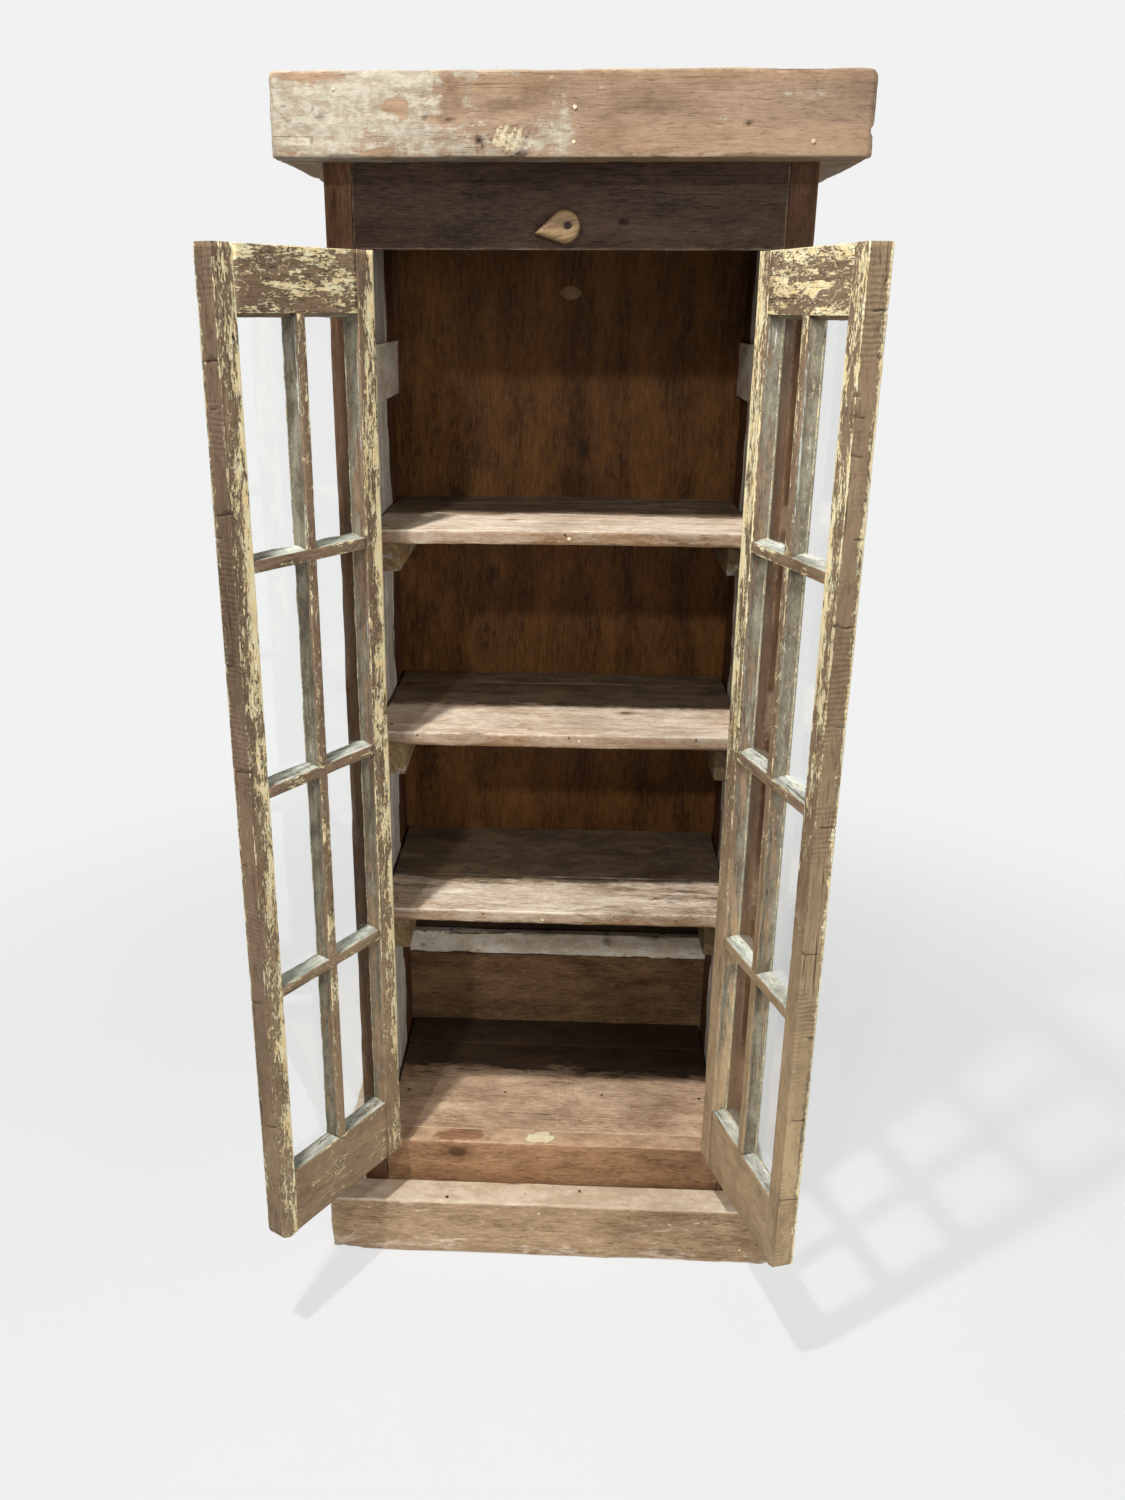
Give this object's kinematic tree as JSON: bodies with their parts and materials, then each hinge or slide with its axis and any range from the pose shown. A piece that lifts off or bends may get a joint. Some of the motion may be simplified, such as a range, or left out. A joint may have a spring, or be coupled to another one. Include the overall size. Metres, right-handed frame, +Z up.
{
  "type": "tall cabinet",
  "caption": "Tall shelved cupboard of reclaimed timber with a heavy cornice and plinth, glazed sash doors and a turn button.",
  "frame": {"origin": "centre of the plinth's underside, on the floor", "axes": "+X to the right as seen from the front, +Y from the front to the back, +Z up"},
  "size_m": [0.8272, 0.7198, 1.855],
  "materials": {
    "cornice_wood": "old paint worn to bare timber, matt",
    "plinth_wood": "bare reclaimed timber, worn, matt",
    "post_wood": "brown stained timber, matt",
    "back_post_wood": "brown stained timber, matt",
    "side_panel_paint": "chalky grey-white paint, worn",
    "header_wood": "dark stained timber, matt",
    "bottom_rail_wood": "brown timber with a knot, matt",
    "floor_wood": "bare planks, rubbed",
    "shelf_wood": "bare planks with nail holes",
    "cleat_wood": "bare batten, partly painted",
    "batten_paint": "chalky grey-white paint",
    "plywood": "brown stained plywood, satin",
    "back_rail_paint": "whitewashed, rough sawn edge",
    "back_board_wood": "brown board, matt",
    "top_wood": "plain boards, dusty",
    "sash_paint": "old cream paint flaked to brown timber",
    "button_wood": "pale carved timber, satin",
    "glass": "old window glass, slightly wavy",
    "hinge_iron": "dark rusted iron",
    "screw_steel": "dull steel"
  },
  "bodies": {
    "carcass": {"back_lower_board": "back_board_wood", "back_plywood": "plywood", "back_post_left": "back_post_wood", "back_post_right": "back_post_wood", "back_rail": "back_rail_paint", "back_strip": "back_board_wood", "bottom_board_back": "floor_wood", "bottom_board_front": "floor_wood", "bottom_rail": "bottom_rail_wood", "cornice_front": "cornice_wood", "cornice_left": "cornice_wood", "cornice_right": "cornice_wood", "frame_hinge_leaves": "hinge_iron", "frame_hinge_screws": "screw_steel", "front_post_left": "post_wood", "front_post_right": "post_wood", "header_board": "header_wood", "hinge_pins": "hinge_iron", "lower_shelf_board": "shelf_wood", "lower_shelf_cleat_left": "cleat_wood", "lower_shelf_cleat_right": "cleat_wood", "middle_shelf_board": "shelf_wood", "middle_shelf_cleat_left": "cleat_wood", "middle_shelf_cleat_right": "cleat_wood", "plinth_bearer": "plinth_wood", "plinth_front": "plinth_wood", "plinth_left": "plinth_wood", "plinth_right": "plinth_wood", "side_panel_left": "side_panel_paint", "side_panel_right": "side_panel_paint", "spare_batten_left": "batten_paint", "spare_batten_right": "batten_paint", "top_sheet": "top_wood", "turn_button_screw": "screw_steel", "upper_shelf_board": "shelf_wood", "upper_shelf_cleat_left": "cleat_wood", "upper_shelf_cleat_right": "cleat_wood"},
    "left_door": {"left_door_bottom_cross_bar": "sash_paint", "left_door_bottom_rail": "sash_paint", "left_door_hinge_leaves": "hinge_iron", "left_door_hinge_screws": "screw_steel", "left_door_hinge_stile": "sash_paint", "left_door_meeting_stile": "sash_paint", "left_door_middle_cross_bar": "sash_paint", "left_door_panes": "glass", "left_door_top_cross_bar": "sash_paint", "left_door_top_rail": "sash_paint", "left_door_upright_bar": "sash_paint"},
    "right_door": {"right_door_bottom_cross_bar": "sash_paint", "right_door_bottom_rail": "sash_paint", "right_door_hinge_leaves": "hinge_iron", "right_door_hinge_screws": "screw_steel", "right_door_hinge_stile": "sash_paint", "right_door_meeting_stile": "sash_paint", "right_door_middle_cross_bar": "sash_paint", "right_door_panes": "glass", "right_door_top_cross_bar": "sash_paint", "right_door_top_rail": "sash_paint", "right_door_upright_bar": "sash_paint"},
    "turn_button": {"turn_button": "button_wood"}
  },
  "joints": [
    {"name": "left_door_hinge", "type": "hinge", "parent": "carcass", "child": "left_door", "pos_m": [-0.2915, -0.1825, 0.92225], "axis": [0, 0, -1], "range_deg": [-121.9, 53.1]},
    {"name": "right_door_hinge", "type": "hinge", "parent": "carcass", "child": "right_door", "pos_m": [0.2915, -0.1825, 0.92225], "axis": [0, 0, 1], "range_deg": [-106.9, 68.1]},
    {"name": "turn_button_pivot", "type": "hinge", "parent": "carcass", "child": "turn_button", "pos_m": [0, -0.186, 1.6764], "axis": [0, -1, 0], "continuous": true}
  ]
}
